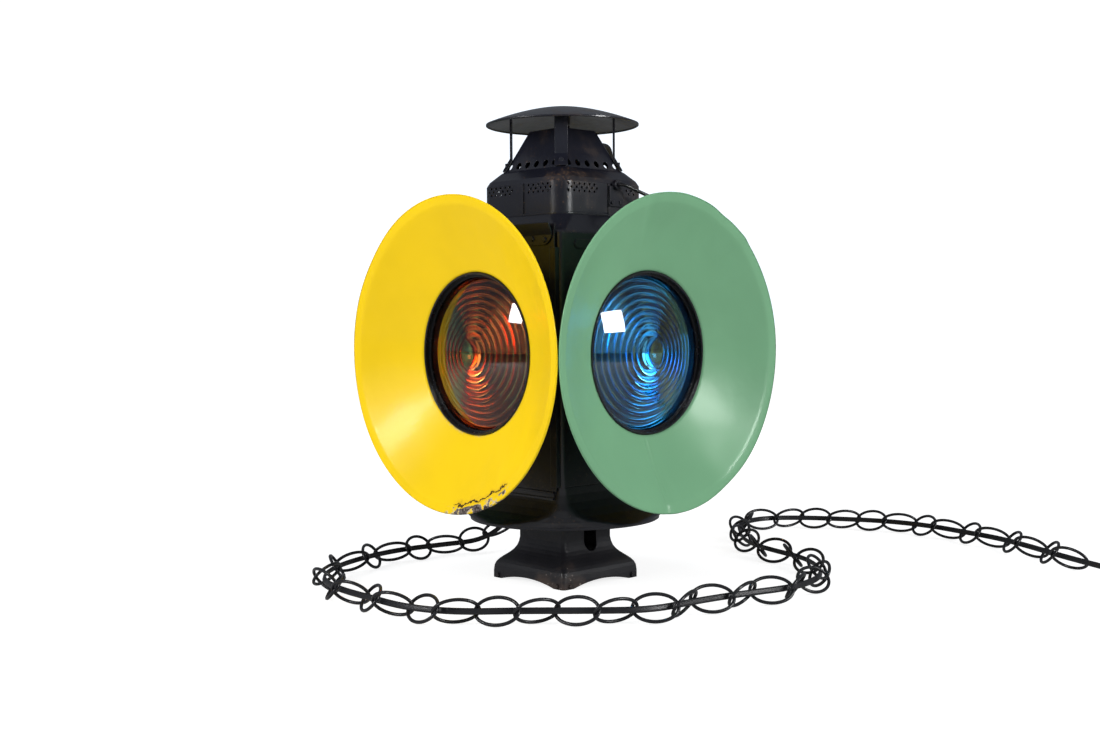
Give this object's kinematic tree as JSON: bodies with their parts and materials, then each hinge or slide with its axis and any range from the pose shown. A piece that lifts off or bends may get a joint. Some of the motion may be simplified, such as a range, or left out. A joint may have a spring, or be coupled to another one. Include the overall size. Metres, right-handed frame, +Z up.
{
  "type": "railway switch lamp",
  "caption": "Square sheet-metal railway signal lamp with ventilated top, coloured lenses in round enamelled day targets, sliding door, bail, flared foot, swag chain and mains lead.",
  "frame": {"origin": "centre of the foot, on the surface the lamp stands on", "axes": "+Z up; -X is the outward direction of the door with its amber lens, -Y that of a blue lens"},
  "size_m": [0.6247, 0.6414, 0.402],
  "materials": {
    "black_sheet": "semi-gloss black paint over sheet steel",
    "black_cast": "black painted foot, worn to brown at the corners",
    "yellow_enamel": "gloss vitreous enamel, chipped at the rim",
    "green_enamel": "gloss vitreous enamel, dented",
    "amber_glass": "pressed stepped lens",
    "blue_glass": "pressed stepped lens",
    "bulb_glass": "clear envelope",
    "bronze": "tarnished brass",
    "bright_brass": "polished brass",
    "insulator": "moulded insulator",
    "rubber": "black rubber",
    "cord_pvc": "black flexible cord",
    "black_chain": "black painted steel wire",
    "plug": "black moulded plug"
  },
  "bodies": {
    "lamp": {"bail_ears": "black_sheet", "barrel_east": "black_sheet", "barrel_north": "black_sheet", "barrel_south": "black_sheet", "base_socket": "black_cast", "bulb_base": "bright_brass", "bulb_glass": "bulb_glass", "cap": "black_sheet", "case_shell": "black_sheet", "chain_1": "black_chain", "chain_2": "black_chain", "chain_3": "black_chain", "chain_4": "black_chain", "chain_eye": "black_chain", "coil": "cord_pvc", "cone": "black_sheet", "dome": "black_sheet", "door_guide_left": "black_sheet", "door_guide_right": "black_sheet", "foot_rivets": "black_cast", "grommet": "rubber", "holder_bracket": "black_sheet", "holder_core": "insulator", "holder_shell": "bright_brass", "lead": "cord_pvc", "lead_end": "cord_pvc", "lens_east": "amber_glass", "lens_north": "blue_glass", "lens_south": "blue_glass", "pan_floor": "black_sheet", "plug_body": "plug", "plug_pins": "bright_brass", "ring_east": "bronze", "ring_north": "bronze", "ring_south": "bronze", "shoulder": "black_sheet", "skirt": "black_sheet", "strut_1": "black_sheet", "strut_2": "black_sheet", "strut_3": "black_sheet", "strut_4": "black_sheet", "target_east": "yellow_enamel", "target_north": "green_enamel", "target_south": "green_enamel"},
    "door": {"door_panel": "black_sheet", "door_flap": "black_sheet", "door_rivets": "black_sheet", "barrel_west": "black_sheet", "lens_west": "amber_glass", "ring_west": "bronze", "target_west": "yellow_enamel"},
    "bail": {"bail": "black_chain"},
    "key": {"holder_key": "insulator"}
  },
  "joints": [
    {"name": "door_slide", "type": "slide", "parent": "lamp", "child": "door", "axis": [0, 0, 1], "range_m": [0, 0.13]},
    {"name": "bail_swing", "type": "hinge", "parent": "lamp", "child": "bail", "pos_m": [0.012, 0, 0.333], "axis": [0, -1, 0], "range_deg": [0, 120]},
    {"name": "key_turn", "type": "hinge", "parent": "lamp", "child": "key", "pos_m": [-0.018, 0, 0.092], "axis": [1, 0, 0], "continuous": true}
  ]
}
